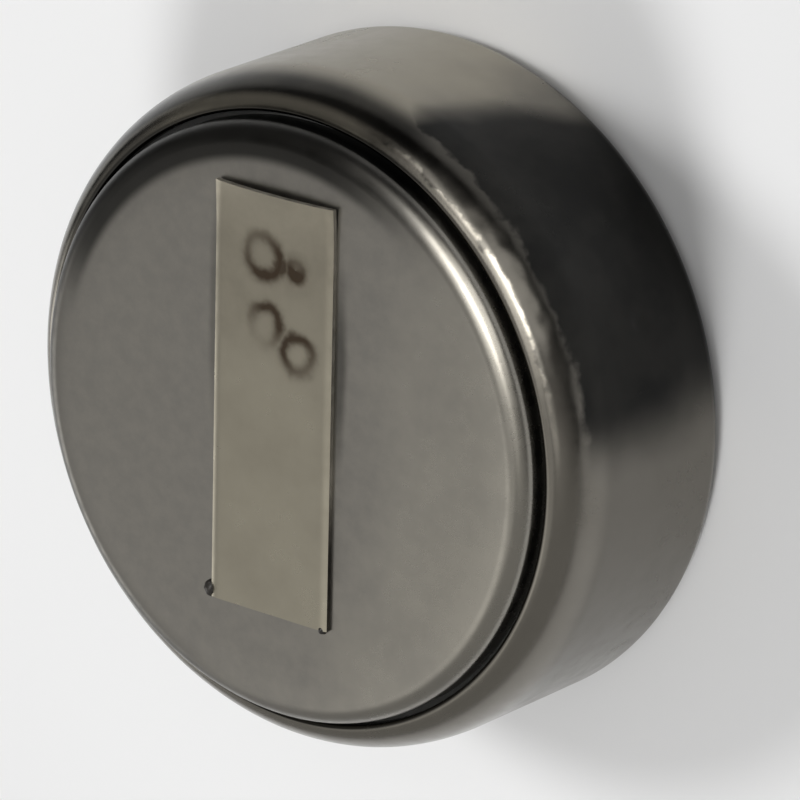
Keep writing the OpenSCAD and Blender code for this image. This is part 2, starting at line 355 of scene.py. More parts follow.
def ripple(bm, outside):
    """Gives a pressed wall the faint unevenness that the press left."""
    for vert in bm.verts:
        if vert.co.xy.length > outside:
            sample = Vector((vert.co.x, vert.co.y, vert.co.z * RIPPLE_CLOSER)) * (RIPPLE_WAVES / MM)
            vert.co -= vert.normal * RIPPLE_DEPTH * max(0.0, 0.5 + 0.5 * noise.noise(sample))


def can_mesh(bm):
    sizes = bpy.context.scene.cell_sizes
    can_section(bm, sizes)
    turn_section(bm, sizes.turn_steps * 2)
    bm.normal_update()
    uneven_from = sizes.can_radius - sizes.shoulder_in * UNEVEN_SHARE
    ripple(bm, uneven_from)
    dent(bm, CAN_DENTS, uneven_from)


def cap_mesh(bm):
    """The cap's sheet: face, rounded edge, wall, step and skirt, then back up inside."""
    sizes = bpy.context.scene.cell_sizes
    cap_radius = sizes.can_radius - sizes.shoulder_in - sizes.lip_reach - sizes.groove
    sheet = sizes.cap_sheet
    skirt = CAP_HIGH.x
    bend = sizes.step_bend
    corner = sheet + bend
    steps = sizes.arc_steps
    flat = cap_radius - sizes.cap_edge_in
    end = pen_down(bm, 0.0, sizes.cell_height)
    rings = steps * 2
    for ring in range(1, rings):
        end = line_to(bm, end, flat * ring / rings, sizes.cell_height)
    end = line_to(bm, end, flat, sizes.cell_height)
    edge_centre = (flat, sizes.cell_height - sizes.cap_edge_drop)
    end = arc_to(bm, end, edge_centre, -90, steps * 2, sizes.cap_edge_drop / sizes.cap_edge_in)
    end = line_to(bm, end, cap_radius, sizes.cap_step + bend)
    end = arc_to(bm, end, (cap_radius + bend, sizes.cap_step + bend), 90, steps // 2)
    end = line_to(bm, end, skirt - corner, sizes.cap_step)
    end = arc_to(bm, end, (skirt - corner, sizes.cap_step - corner), -90, steps // 2)
    end = line_to(bm, end, skirt, CAP_LOW.z)
    end = line_to(bm, end, skirt - sheet, CAP_LOW.z)
    end = line_to(bm, end, skirt - sheet, sizes.cap_step - corner)
    end = arc_to(bm, end, (skirt - corner, sizes.cap_step - corner), 90, steps // 2)
    end = line_to(bm, end, cap_radius + bend, sizes.cap_step - sheet)
    end = arc_to(bm, end, (cap_radius + bend, sizes.cap_step + bend), -90, steps // 2)
    end = line_to(bm, end, cap_radius - sheet, sizes.cell_height - sizes.cap_edge_drop)
    inner_stretch = (sizes.cap_edge_drop - sheet) / (sizes.cap_edge_in - sheet)
    end = arc_to(bm, end, edge_centre, 90, steps // 2, inner_stretch)
    line_to(bm, end, 0.0, sizes.cell_height - sheet)
    for vert in bm.verts:
        outer = max(0.0, vert.co.x - sizes.dome_start) / (cap_radius - sizes.dome_start)
        if vert.co.z > sizes.cap_step + sheet:
            vert.co.z -= sizes.dome_drop * min(1.0, outer) ** 2
    turn_section(bm, sizes.turn_steps)


# Each weld is a ring that an electrode pressed into the tab: (across, along) from the cell's axis, in mm
WELDS = ((-0.25, 3.59), (0.56, 3.45), (-0.17, 2.16), (0.64, 1.71))


def tab_mesh(bm):
    """A thin strip lying on the cap, with pressed weld rings, rolled long edges and a lifted end."""
    sizes = bpy.context.scene.tab_sizes
    low, high = TAB_LOW, TAB_HIGH
    width, length = high.x - low.x, high.y - low.y
    curl_height = high.z - low.z - sizes.thickness
    bmesh.ops.create_grid(
        bm, x_segments=round(width / sizes.cell), y_segments=round(length / sizes.cell), size=0.5)
    middle = Vector(((low.x + high.x) / 2, (low.y + high.y) / 2, low.z))
    bmesh.ops.scale(bm, vec=(width, length, 1.0), verts=bm.verts[:])
    bmesh.ops.translate(bm, vec=middle, verts=bm.verts[:])
    under = bmesh.ops.extrude_face_region(bm, geom=bm.faces[:])
    top = [part for part in under["geom"] if isinstance(part, bmesh.types.BMVert)]
    bmesh.ops.translate(bm, vec=(0, 0, sizes.thickness), verts=top)
    for vert in top:
        for across, along in WELDS:
            off = (Vector((across, along)) * MM - vert.co.xy).length
            press = soft_bump(off - sizes.weld_radius, sizes.weld_stroke)
            vert.co.z -= sizes.weld_depth * press
        inset = min(vert.co.x - low.x, high.x - vert.co.x)
        rolled = max(0.0, 1 - inset / sizes.roll_width)
        vert.co.z -= sizes.edge_roll * rolled ** 2
    for vert in bm.verts:
        share = max(0.0, 1 - (high.y - vert.co.y) / sizes.curl_length)
        side = abs(vert.co.x - middle.x) / (width / 2)
        arch = 1 - (1 - sizes.corner_lift) * side ** 2
        vert.co.z += curl_height * share ** 2 * arch
    bmesh.ops.recalc_face_normals(bm, faces=bm.faces[:])
    for face in bm.faces:
        face.smooth = True
        face.material_index = 1 if abs(face.normal.z) < 0.5 else 0
    for edge in bm.edges:
        edge.smooth = edge.calc_face_angle(0.0) < SHARP_ANGLE


# Beads of burnt flux at the tab's flat end, as (across, along, radius, height) in millimetres
BEADS = ((-1.57, -3.78, 0.15, 0.17), (1.36, -3.92, 0.085, 0.15))
BEAD_WOBBLE, BEAD_WAVES = 0.12, 1.7
BEAD_LONGER = 1.15
BEAD_SUNK = 0.01 * MM


def bead_mesh(bm):
    for across, along, radius, height in BEADS:
        made = bmesh.ops.create_icosphere(bm, subdivisions=4, radius=1.0)
        shift = Vector((across, along, 0))
        for vert in made["verts"]:
            vert.co += vert.normal * BEAD_WOBBLE * noise.noise(vert.co * BEAD_WAVES + shift)
        half = Vector((radius, radius * BEAD_LONGER, height)) * MM
        bmesh.ops.scale(bm, vec=half, verts=made["verts"])
        place = Vector((across * MM, along * MM, CAP_HIGH.z))
        bmesh.ops.translate(bm, vec=place, verts=made["verts"])
        for vert in made["verts"]:
            if vert.co.z < CAP_HIGH.z:
                vert.co.z = CAP_HIGH.z - BEAD_SUNK
    for face in bm.faces:
        face.smooth = True


# Material work

def node_add(tree, kind, **settings):
    made = tree.nodes.new(kind)
    for key, value in settings.items():
        setattr(made, key, value)
    return made


def feed(tree, socket, value):
    """Links a socket, or sets a plain number, vector or colour on it."""
    if isinstance(value, bpy.types.NodeSocket):
        tree.links.new(value, socket)
    else:
        socket.default_value = value


def math_node(tree, operation, first, second=0.0, clamp=False):
    made = node_add(tree, "ShaderNodeMath", operation=operation, use_clamp=clamp)
    feed(tree, made.inputs[0], first)
    feed(tree, made.inputs[1], second)
    return made.outputs[0]


def times(tree, first, second):
    return math_node(tree, "MULTIPLY", first, second)


def most(tree, first, second):
    return math_node(tree, "MAXIMUM", first, second)


def vector_node(tree, operation, first, second=(0.0, 0.0, 0.0)):
    made = node_add(tree, "ShaderNodeVectorMath", operation=operation)
    feed(tree, made.inputs[0], first)
    feed(tree, made.inputs[1], second)
    return made.outputs["Value" if operation in ("LENGTH", "DOT_PRODUCT", "DISTANCE") else "Vector"]


def along_axes(tree, vector):
    """The X, Y and Z of a vector, by name."""
    made = node_add(tree, "ShaderNodeSeparateXYZ")
    tree.links.new(vector, made.inputs[0])
    return made.outputs


def axis_distance(tree, vector):
    """The distance of a place from the cell's axis."""
    return vector_node(tree, "LENGTH", vector_node(tree, "MULTIPLY", vector, (1, 1, 0)))


def noise_node(tree, vector, scale, detail=3.0, roughness=0.55):
    made = node_add(tree, "ShaderNodeTexNoise")
    feed(tree, made.inputs["Vector"], vector)
    made.inputs["Scale"].default_value = scale
    made.inputs["Detail"].default_value = detail
    made.inputs["Roughness"].default_value = roughness
    return made.outputs["Fac"]


def range_node(tree, value, low, high, to_low=0.0, to_high=1.0, smooth=True):
    made = node_add(tree, "ShaderNodeMapRange")
    made.interpolation_type = "SMOOTHSTEP" if smooth else "LINEAR"
    feed(tree, made.inputs["Value"], value)
    for key, number in zip(("From Min", "From Max", "To Min", "To Max"), (low, high, to_low, to_high)):
        feed(tree, made.inputs[key], number)
    return made.outputs["Result"]


def mix_node(tree, factor, first, second):
    made = node_add(tree, "ShaderNodeMix", data_type="RGBA")
    feed(tree, made.inputs["Factor"], factor)
    feed(tree, made.inputs[6], first)
    feed(tree, made.inputs[7], second)
    return made.outputs[2]


def new_group(name, inputs, outputs):
    """A shader node group with named sockets, each given as (name, kind, default)."""
    tree = bpy.data.node_groups.new(name, "ShaderNodeTree")
    for label, kind, default in inputs:
        made = tree.interface.new_socket(name=label, in_out="INPUT", socket_type="NodeSocket" + kind)
        made.default_value = default
    for label, kind in outputs:
        tree.interface.new_socket(name=label, in_out="OUTPUT", socket_type="NodeSocket" + kind)
    return tree, tree.nodes.new("NodeGroupInput").outputs, tree.nodes.new("NodeGroupOutput").inputs


def use_group(tree, group, **values):
    made = node_add(tree, "ShaderNodeGroup", node_tree=group)
    for key, value in values.items():
        feed(tree, made.inputs[key.replace("_", " ")], value)
    return made.outputs


# Noise of the finishes, in waves per metre
CLOUD_WAVES, FINE_WAVES, GRAIN_WAVES, PIT_WAVES = 420.0, 2600.0, 9000.0, 7000.0
RING_WAVES, SHADOW_EDGE_WAVES, SIDE_WAVES = 2400.0, 1500.0, 300.0
SHADE_WAVES, THIN_WAVES, PATCH_WAVES = 1300.0, 1800.0, 700.0
STREAK_WAVES, MOTTLE_WAVES = 5000.0, 1500.0


def plate_group():
    """Nickel plate with a cloudy film, fine rolling grain and small pits, and more film where it is fed in;
    on the cap that extra film is a painted gradient of light.
    """
    tree, given, out = new_group(
        "Nickel plate",
        [("Vector", "Vector", (0, 0, 0)), ("Clean", "Color", (1, 1, 1, 1)), ("Film", "Color", (1, 1, 1, 1)),
         ("Dull", "Float", 0.0), ("Cloudy", "Float", 1.0), ("Grain", "Vector", (1, 1, 1)),
         ("Gloss", "Float", 0.3)],
        [("Colour", "Color"), ("Roughness", "Float"), ("Height", "Float")])
    spot = given["Vector"]
    cloud = noise_node(tree, spot, CLOUD_WAVES, 4.0, 0.6)
    fine = noise_node(tree, spot, FINE_WAVES, 4.0, 0.6)
    grained = vector_node(tree, "MULTIPLY", spot, given["Grain"])
    grain = noise_node(tree, grained, GRAIN_WAVES, 2.0, 0.5)
    pits = noise_node(tree, spot, PIT_WAVES, 2.0, 0.5)
    pitted = range_node(tree, pits, 0.74, 0.82)
    clouds = times(tree, range_node(tree, cloud, 0.28, 0.8), given["Cloudy"])
    film_and_shade = math_node(tree, "ADD", clouds, given["Dull"], clamp=True)
    film_and_shade = times(tree, film_and_shade, range_node(tree, fine, 0.2, 0.8, 0.7, 1.0))
    film_and_shade = math_node(tree, "ADD", film_and_shade, times(tree, pitted, 0.25), clamp=True)
    tree.links.new(mix_node(tree, film_and_shade, given["Clean"], given["Film"]), out["Colour"])
    shine = range_node(tree, film_and_shade, 0.0, 1.0, 0.0, 0.12, smooth=False)
    shine = math_node(tree, "ADD", shine, given["Gloss"])
    shine = math_node(tree, "ADD", shine, range_node(tree, fine, 0.3, 0.7, -0.02, 0.03))
    tree.links.new(shine, out["Roughness"])
    height = times(tree, grain, 0.25)
    height = math_node(tree, "ADD", height, times(tree, fine, 0.5))
    height = math_node(tree, "SUBTRACT", height, times(tree, pitted, 0.4))
    tree.links.new(height, out["Height"])
    return tree


def ring_group():
    """A burnt ring that is darker towards one side, as a spot weld leaves."""
    tree, given, out = new_group(
        "Weld ring",
        [("Vector", "Vector", (0, 0, 0)), ("Centre", "Vector", (0, 0, 0)), ("Radius", "Float", 0.0004),
         ("Stroke", "Float", 0.0001), ("Side", "Vector", (0, 0, 0)), ("Base", "Float", 0.5),
         ("Fill", "Float", 0.0)],
        [("Mask", "Float")])
    flat = vector_node(tree, "MULTIPLY", given["Vector"], (1, 1, 0))
    off = vector_node(tree, "SUBTRACT", flat, given["Centre"])
    wobble = noise_node(tree, given["Vector"], RING_WAVES, 2.0)
    reach = vector_node(tree, "LENGTH", off)
    reach = math_node(tree, "ADD", reach, range_node(tree, wobble, 0.3, 0.7, -0.04 * MM, 0.04 * MM))
    line = math_node(tree, "SUBTRACT", reach, given["Radius"])
    line = math_node(tree, "DIVIDE", line, given["Stroke"])
    line = times(tree, line, line)
    line = math_node(tree, "EXPONENT", times(tree, line, -1.0))
    lean = vector_node(tree, "DOT_PRODUCT", vector_node(tree, "NORMALIZE", off), given["Side"])
    weight = math_node(tree, "ADD", given["Base"], lean, clamp=True)
    filled = range_node(tree, reach, given["Radius"], 0.0, 0.0, 1.0)
    filled = times(tree, filled, given["Fill"])
    total = math_node(tree, "ADD", line, filled, clamp=True)
    burnt = times(tree, total, weight)
    tree.links.new(math_node(tree, "MINIMUM", burnt, 0.95), out["Mask"])
    return tree


def patch_group():
    """A soft-edged patch in plan, such as a painted shadow beside an edge."""
    tree, given, out = new_group(
        "Soft patch",
        [("Vector", "Vector", (0, 0, 0)), ("Centre", "Vector", (0, 0, 0)), ("Half", "Vector", (1, 1, 1)),
         ("Ragged", "Float", 0.2)],
        [("Mask", "Float")])
    off = vector_node(tree, "SUBTRACT", given["Vector"], given["Centre"])
    share = vector_node(tree, "DIVIDE", off, given["Half"])
    reach = vector_node(tree, "LENGTH", vector_node(tree, "MULTIPLY", share, (1, 1, 0)))
    rough = noise_node(tree, given["Vector"], SHADOW_EDGE_WAVES, 3.0)
    rough = times(tree, math_node(tree, "SUBTRACT", rough, 0.5), given["Ragged"])
    reach = math_node(tree, "ADD", reach, rough)
    tree.links.new(range_node(tree, reach, 1.0, 0.25), out["Mask"])
    return tree


def side_group():
    """One side of a round wall, fading around it with a slightly ragged edge."""
    tree, given, out = new_group(
        "Wall side",
        [("Vector", "Vector", (0, 0, 0)), ("Way", "Vector", (1, 0, 0)), ("Start", "Float", 0.8),
         ("Full", "Float", 0.95)],
        [("Mask", "Float")])
    level = vector_node(tree, "NORMALIZE", vector_node(tree, "MULTIPLY", given["Vector"], (1, 1, 0)))
    facing = vector_node(tree, "DOT_PRODUCT", level, given["Way"])
    worn = noise_node(tree, given["Vector"], SIDE_WAVES, 3.0)
    facing = math_node(tree, "ADD", facing, range_node(tree, worn, 0.3, 0.7, -0.03, 0.03))
    tree.links.new(range_node(tree, facing, given["Start"], given["Full"]), out["Mask"])
    return tree


def build_groups():
    makers = (("plate", plate_group), ("ring", ring_group), ("patch", patch_group), ("side", side_group))
    for name, maker in makers:
        if name not in GROUPS:
            GROUPS[name] = maker()


GROUPS = {}


def new_material(name):
    """A material with its node tree, its Principled shader and its object coordinates."""
    made = bpy.data.materials.new(name)
    made.use_nodes = True
    tree = made.node_tree
    shader = next(n for n in tree.nodes if n.type == "BSDF_PRINCIPLED")
    place = node_add(tree, "ShaderNodeTexCoord").outputs["Object"]
    return made, tree, shader, place


def bump(tree, shader, height, distance, strength=1.0):
    made = node_add(tree, "ShaderNodeBump")
    made.inputs["Distance"].default_value = distance
    made.inputs["Strength"].default_value = strength
    feed(tree, made.inputs["Height"], height)
    tree.links.new(made.outputs["Normal"], shader.inputs["Normal"])


def side_mask(tree, place, side):
    """One side of the cell, from the bearing of its middle and the cosines where it starts and is full."""
    turn, start, full = side
    way = tuple(bearing(turn, 0))
    return use_group(tree, GROUPS["side"], Vector=place, Way=way, Start=start, Full=full)["Mask"]


def shading_range(tree, value, ends, cover=1.0):
    """Painted shade, and on the tab's edge painted light, that starts at one height or radius and is full at
    another, in millimetres.
    """
    start, full = ends
    return range_node(tree, value, start * MM, full * MM, 0.0, cover)


def ragged_height(tree, place, height, waves, detail, depth):
    """The height made uneven, so that painted shade that follows it has a ragged border."""
    worn = math_node(tree, "SUBTRACT", noise_node(tree, place, waves, detail, 0.6), 0.5)
    return math_node(tree, "ADD", height, times(tree, worn, depth * MM))


# Sides of the can: (bearing in degrees, cosine where it starts, cosine where it is full)
# The next side is a painted reflection that makes the wall lighter.
BRIGHT_SIDE = (98, 0.84, 0.95)
# The sides below place painted shade on the can.
SHADE_SIDE = (-20, -0.03, 0.11)
SHADE_FADE = (90, 0.0, 0.25)
THIN_SIDE = (90, 0.1, 0.45)
CRIMP_SIDE = (108, 0.50, 0.80)
# Heights and radii where the can's painted shade starts and is full, in millimetres
SHADE_HEIGHTS = (4.45, 4.10)
THIN_HEIGHTS = (4.76, 4.70)
CRIMP_HEIGHTS = (3.6, 4.32)
SHOULDER_HEIGHTS = (4.74, 4.60)
LIP_RADII = (6.46, 6.38)
LIP_EDGE_RADII = (6.43, 6.38)
# How much of the plate each painted shade hides
THIN_COVER, CRIMP_COVER, LIP_COVER = 0.70, 0.95, 0.6
# The painted shade's border leans over with height, about this height in millimetres
LEAN_HEIGHT, LEAN = 2.6, 0.45


def can_painted_shade(tree, place):
    """Painted shade: dense on one side of the wall, thin on the shoulder, and dark in the crimp."""
    height = along_axes(tree, place)["Z"]
    radius = axis_distance(tree, place)
    lean = node_add(tree, "ShaderNodeCombineXYZ")
    shift = math_node(tree, "SUBTRACT", height, LEAN_HEIGHT * MM)
    tree.links.new(times(tree, shift, LEAN), lean.inputs[0])
    leaning = vector_node(tree, "ADD", place, lean.outputs[0])
    side = times(tree, side_mask(tree, leaning, SHADE_SIDE), side_mask(tree, place, SHADE_FADE))
    wall = ragged_height(tree, place, height, SHADE_WAVES, 4.0, 0.7)
    wall = shading_range(tree, wall, SHADE_HEIGHTS)
    thin = ragged_height(tree, place, height, THIN_WAVES, 3.0, 0.35)
    thin = shading_range(tree, thin, THIN_HEIGHTS, THIN_COVER)
    thin = times(tree, thin, side_mask(tree, place, THIN_SIDE))
    painted_shade = times(tree, side, most(tree, wall, thin))
    crimp = times(tree, side_mask(tree, place, CRIMP_SIDE), shading_range(tree, height, CRIMP_HEIGHTS))
    reach = most(tree, shading_range(tree, radius, LIP_RADII), shading_range(tree, height, SHOULDER_HEIGHTS))
    crimp = times(tree, crimp, reach)
    painted_shade = most(tree, painted_shade, times(tree, crimp, CRIMP_COVER))
    lip_edge = shading_range(tree, radius, LIP_EDGE_RADII)
    painted_shade = most(tree, painted_shade, times(tree, lip_edge, LIP_COVER))
    patchy = noise_node(tree, place, PATCH_WAVES, 3.0, 0.6)
    return times(tree, painted_shade, range_node(tree, patchy, 0.3, 0.7, 0.95, 1.0))


def can_material():
    colours = bpy.context.scene.cell_colours
    made, tree, shader, place = new_material("can_nickel_plate")
    shader.inputs["Metallic"].default_value = 1.0
    plate = use_group(
        tree, GROUPS["plate"], Vector=place, Clean=colours.can_plate, Film=colours.can_film,
        Dull=0.0, Grain=(1.0, 1.0, 0.12), Gloss=0.18)
    # Painted reflection: one side of the wall made lighter.
    colour = mix_node(tree, side_mask(tree, place, BRIGHT_SIDE), plate["Colour"], colours.can_painted_light)
    # Painted shade over one side of the wall, the shoulder, the crimp and the lip's edge.
    colour = mix_node(tree, can_painted_shade(tree, place), colour, colours.shade_paint_colour)
    tree.links.new(colour, shader.inputs["Base Color"])
    tree.links.new(plate["Roughness"], shader.inputs["Roughness"])
    bump(tree, shader, plate["Height"], 0.004 * MM)
    return made


# Sides of the cap, and where its painted shade starts and is full, as for the can
FAR_SIDE = (110, 0.45, 0.75)
LEFT_SIDE = (200, 0.45, 0.8)
TOP_SIDE = (112, 0.50, 0.85)
CAP_WALL_HEIGHTS = (5.10, 4.98)
RIM_HEIGHTS = (5.392, 5.33)
BAND_RADII = (5.36, 5.62)
NEAR_WALL_COVER, LEFT_COVER, RIM_COVER, BAND_COVER = 0.3, 0.8, 0.75, 0.88
# The face is painted lighter along a bearing, a painted gradient of light, between two places in millimetres
LIGHTER_TURN, LIGHTER_FROM, LIGHTER_TO = -16, 0.8, 4.8
# Painted shadows beside the tab: centre, half size and cover, in millimetres
TAB_SHADOWS = (
    ((1.62, 1.6), (0.26, 2.6), 0.55),
    ((-1.58, 2.2), (0.22, 3.0), 0.33),
)


def cap_tab_shadows(tree, place):
    """Painted shadows in the corners beside the tab."""
    tab_shadow = 0.0
    for centre, half, cover in TAB_SHADOWS:
        patch = use_group(
            tree, GROUPS["patch"], Vector=place, Centre=(centre[0] * MM, centre[1] * MM, 0),
            Half=(half[0] * MM, half[1] * MM, 1))
        tab_shadow = most(tree, tab_shadow, times(tree, patch["Mask"], cover))
    return tab_shadow


def cap_rim_shade(tree, place):
    """Painted shade on the cap's wall, on its rim at the far and left sides, and in a band at its top."""
    height = along_axes(tree, place)["Z"]
    far = side_mask(tree, place, FAR_SIDE)
    wall = shading_range(tree, height, CAP_WALL_HEIGHTS)
    wall = times(tree, wall, range_node(tree, far, 0.0, 1.0, NEAR_WALL_COVER, 1.0))
    around = most(tree, far, times(tree, side_mask(tree, place, LEFT_SIDE), LEFT_COVER))
    rim = times(tree, around, shading_range(tree, height, RIM_HEIGHTS))
    film_and_shade = most(tree, wall, times(tree, rim, RIM_COVER))
    band = shading_range(tree, axis_distance(tree, place), BAND_RADII, BAND_COVER)
    return most(tree, film_and_shade, times(tree, side_mask(tree, place, TOP_SIDE), band))


def cap_material():
    colours = bpy.context.scene.cell_colours
    made, tree, shader, place = new_material("cap_nickel_plate")
    shader.inputs["Metallic"].default_value = 1.0
    # Painted light: the face carries less film, and so is lighter, along a bearing.
    across = vector_node(tree, "DOT_PRODUCT", place, tuple(bearing(LIGHTER_TURN, 0)))
    darker_share = range_node(tree, across, LIGHTER_FROM * MM, LIGHTER_TO * MM, 0.9, 0.12)
    plate = use_group(
        tree, GROUPS["plate"], Vector=place, Clean=colours.cap_plate, Film=colours.cap_film_and_shade,
        Dull=darker_share, Cloudy=0.5, Grain=(1.0, 1.0, 1.0), Gloss=0.24)
    # Painted shade: the shadows beside the tab, and the shade on the cap's wall, rim and top band.
    dark = most(tree, cap_tab_shadows(tree, place), cap_rim_shade(tree, place))
    colour = mix_node(tree, dark, plate["Colour"], colours.shade_paint_colour)
    tree.links.new(colour, shader.inputs["Base Color"])
    tree.links.new(plate["Roughness"], shader.inputs["Roughness"])
    bump(tree, shader, plate["Height"], 0.003 * MM)
    return made


# Burns round the welds, in millimetres:
# (across, along, darker side, least darkness, fill, radius, half width)
BURNS = (
    (-0.25, 3.59, (0.20, -0.25), 0.86, 0.0, 0.40, 0.14),
    (0.20, 3.45, (0.0, 0.0), 0.90, 1.0, 0.10, 0.12),
    (0.56, 3.45, (-0.1, -0.3), 0.95, 1.0, 0.15, 0.15),
    (-0.17, 2.16, (0.32, 0.40), 0.66, 0.0, 0.37, 0.14),
    (0.64, 1.71, (-0.15, 0.20), 0.88, 0.0, 0.37, 0.135),
)


# The tab grows duller towards its lifted end, and its sheared edge is painted lighter along a stretch, in
# millimetres along it
DULLER_FROM, DULLER_TO = 0.5, 4.0
EDGE_LIGHTER = (-2.4, -0.6)


def tab_material():
    colours = bpy.context.scene.cell_colours
    made, tree, shader, place = new_material("tab_rolled_nickel")
    shader.inputs["Metallic"].default_value = 1.0
    along = along_axes(tree, place)["Y"]
    darker_share = range_node(tree, along, DULLER_FROM * MM, DULLER_TO * MM, -0.2, 0.7)
    plate = use_group(
        tree, GROUPS["plate"], Vector=place, Clean=colours.tab_plate, Film=colours.tab_film,
        Dull=darker_share, Grain=(1.0, 0.06, 1.0), Gloss=0.28)
    burnt = 0.0
    for x, y, darker, base, fill, radius, stroke in BURNS:
        ring = use_group(
            tree, GROUPS["ring"], Vector=place, Centre=(x * MM, y * MM, 0), Radius=radius * MM,
            Stroke=stroke * MM, Side=(*darker, 0), Base=base, Fill=fill)
        burnt = most(tree, burnt, ring["Mask"])
    colour = mix_node(tree, burnt, plate["Colour"], colours.heat_brown)
    tree.links.new(colour, shader.inputs["Base Color"])
    rough = math_node(tree, "ADD", plate["Roughness"], times(tree, burnt, 0.25))
    tree.links.new(rough, shader.inputs["Roughness"])
    bump(tree, shader, plate["Height"], 0.003 * MM)
    return made


def edge_material():
    """The tab's sheared sides, duller and darker than its face, with painted light along one stretch."""
    colours = bpy.context.scene.cell_colours
    made, tree, shader, place = new_material("tab_sheared_edge")
    shader.inputs["Metallic"].default_value = 1.0
    streak = noise_node(tree, vector_node(tree, "MULTIPLY", place, (1.0, 1.0, 0.1)), STREAK_WAVES, 3.0)
    tint = mix_node(tree, streak, colours.edge_dark, colours.edge_grey)
    # Painted light: one stretch of the sheared edge made lighter.
    lighter_share = shading_range(tree, along_axes(tree, place)["Y"], EDGE_LIGHTER, 0.9)
    tint = mix_node(tree, lighter_share, tint, colours.edge_painted_light)
    tree.links.new(tint, shader.inputs["Base Color"])
    tree.links.new(range_node(tree, streak, 0.2, 0.8, 0.4, 0.6), shader.inputs["Roughness"])
    bump(tree, shader, streak, 0.004 * MM)
    return made


def plain_material(name, colour, second, metallic, roughness):
    """A lightly mottled finish for the gasket, the burnt flux and the pieces inside."""
    made, tree, shader, place = new_material(name)
    shader.inputs["Metallic"].default_value = metallic
    mottle = noise_node(tree, place, MOTTLE_WAVES, 4.0, 0.6)
    tree.links.new(mix_node(tree, mottle, colour, second), shader.inputs["Base Color"])
    uneven = range_node(tree, mottle, 0.25, 0.75, roughness - 0.06, roughness + 0.06)
    tree.links.new(uneven, shader.inputs["Roughness"])
    bump(tree, shader, mottle, 0.003 * MM)
    return made


# The pieces inside keep their shape: (node, material, colour, second colour, metallic, roughness)
INNER_FINISHES = (
    ("cathode_strip", "cathode_coating", (0.03, 0.03, 0.032, 1), (0.05, 0.05, 0.052, 1), 0.0, 0.75),
    ("anode_strip", "anode_coating", (0.05, 0.045, 0.04, 1), (0.16, 0.075, 0.04, 1), 0.2, 0.6),
    ("inner_separator", "separator_film", (0.85, 0.85, 0.83, 1), (0.8, 0.8, 0.78, 1), 0.0, 0.45),
    ("outer_separator", "separator_film_outer", (0.82, 0.84, 0.85, 1), (0.78, 0.79, 0.8, 1), 0.0, 0.45),
    ("roll_tape", "amber_tape", (0.55, 0.26, 0.05, 1), (0.48, 0.22, 0.04, 1), 0.0, 0.25),
    ("positive_lead", "lead_aluminium", (0.75, 0.75, 0.76, 1), (0.66, 0.66, 0.67, 1), 1.0, 0.35),
    ("negative_lead", "lead_nickel", (0.56, 0.53, 0.48, 1), (0.48, 0.46, 0.42, 1), 1.0, 0.35),
    ("base_insulator", "amber_disc_base", (0.55, 0.28, 0.06, 1), (0.5, 0.24, 0.05, 1), 0.0, 0.3),
    ("cap_insulator", "amber_disc_cap", (0.55, 0.28, 0.06, 1), (0.5, 0.24, 0.05, 1), 0.0, 0.3),
)


def dress_node(node, material):
    """Gives a node that keeps its shape a better finish."""
    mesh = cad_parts[node].data
    if mesh.materials:
        mesh.materials[0] = material
    else:
        mesh.materials.append(material)


# One operator for each piece or group of like pieces

class CELL_OT_can(bpy.types.Operator):
    """Make the crimped steel can"""
    bl_idname = "cell.make_can"
    bl_label = "Can"

    def execute(self, context):
        build_groups()
        new_piece("can_shell", can_mesh, can_material(), "positive_can")
        return {"FINISHED"}


class CELL_OT_cap(bpy.types.Operator):
    """Make the pressed cap"""
    bl_idname = "cell.make_cap"
    bl_label = "Cap"

    def execute(self, context):
        build_groups()
        new_piece("cap_shell", cap_mesh, cap_material(), "negative_cap")
        return {"FINISHED"}


class CELL_OT_tab(bpy.types.Operator):
    """Make the welded tab and the flux beads at its flat end"""
    bl_idname = "cell.make_tab"
    bl_label = "Tab"

    def execute(self, context):
        build_groups()
        strip = new_piece("tab_strip", tab_mesh, tab_material(), "welded_tab")
        strip.data.materials.append(edge_material())
        burnt = plain_material("burnt_flux", (0.008, 0.008, 0.008, 1), (0.02, 0.016, 0.012, 1), 0.0, 0.5)
        new_piece("flux_beads", bead_mesh, burnt, None)
        return {"FINISHED"}


class CELL_OT_gasket(bpy.types.Operator):
    """Finish the gasket that shows in the groove"""
    bl_idname = "cell.finish_gasket"
    bl_label = "Gasket"

    def execute(self, context):
        black = tuple(context.scene.cell_colours.gasket_black)
        dress_node("gasket", plain_material("gasket_plastic", black, (0.07, 0.07, 0.068, 1), 0.0, 0.6))
        return {"FINISHED"}


class CELL_OT_inside(bpy.types.Operator):
    """Finish the roll, the leads and the insulating discs"""
    bl_idname = "cell.finish_inside"
    bl_label = "Inside"

    def execute(self, context):
        for node, name, colour, second, metallic, roughness in INNER_FINISHES:
            dress_node(node, plain_material(name, colour, second, metallic, roughness))
        return {"FINISHED"}


# Stage

AIM = Vector((-0.5309, -0.7547, 0.7679)) * MM
KEY_TURNS = (164.0, 276.0)
KEY_RISE, KEY_AWAY, KEY_RADIUS, KEY_CONE = 42.0, 0.25, 0.045, 26.0
FILL_SPREAD = 160.0
FLOOR_RADIUS = 0.6
FLOOR_BELOW = 0.002 * MM


def make_camera(stage):
    data = bpy.data.cameras.new("view")
    data.lens = stage.lens
    data.sensor_width = 36.0
    data.clip_start = 0.01
    camera = bpy.data.objects.new("view", data)
    away = bearing(stage.view_turn, stage.view_rise)
    turn = away.to_track_quat("Z", "Y") @ Quaternion((0, 0, 1), math.radians(stage.view_roll))
    camera.matrix_world = Matrix.Translation(AIM + away * stage.view_distance) @ turn.to_matrix().to_4x4()
    bpy.context.scene.collection.objects.link(camera)
    bpy.context.scene.camera = camera


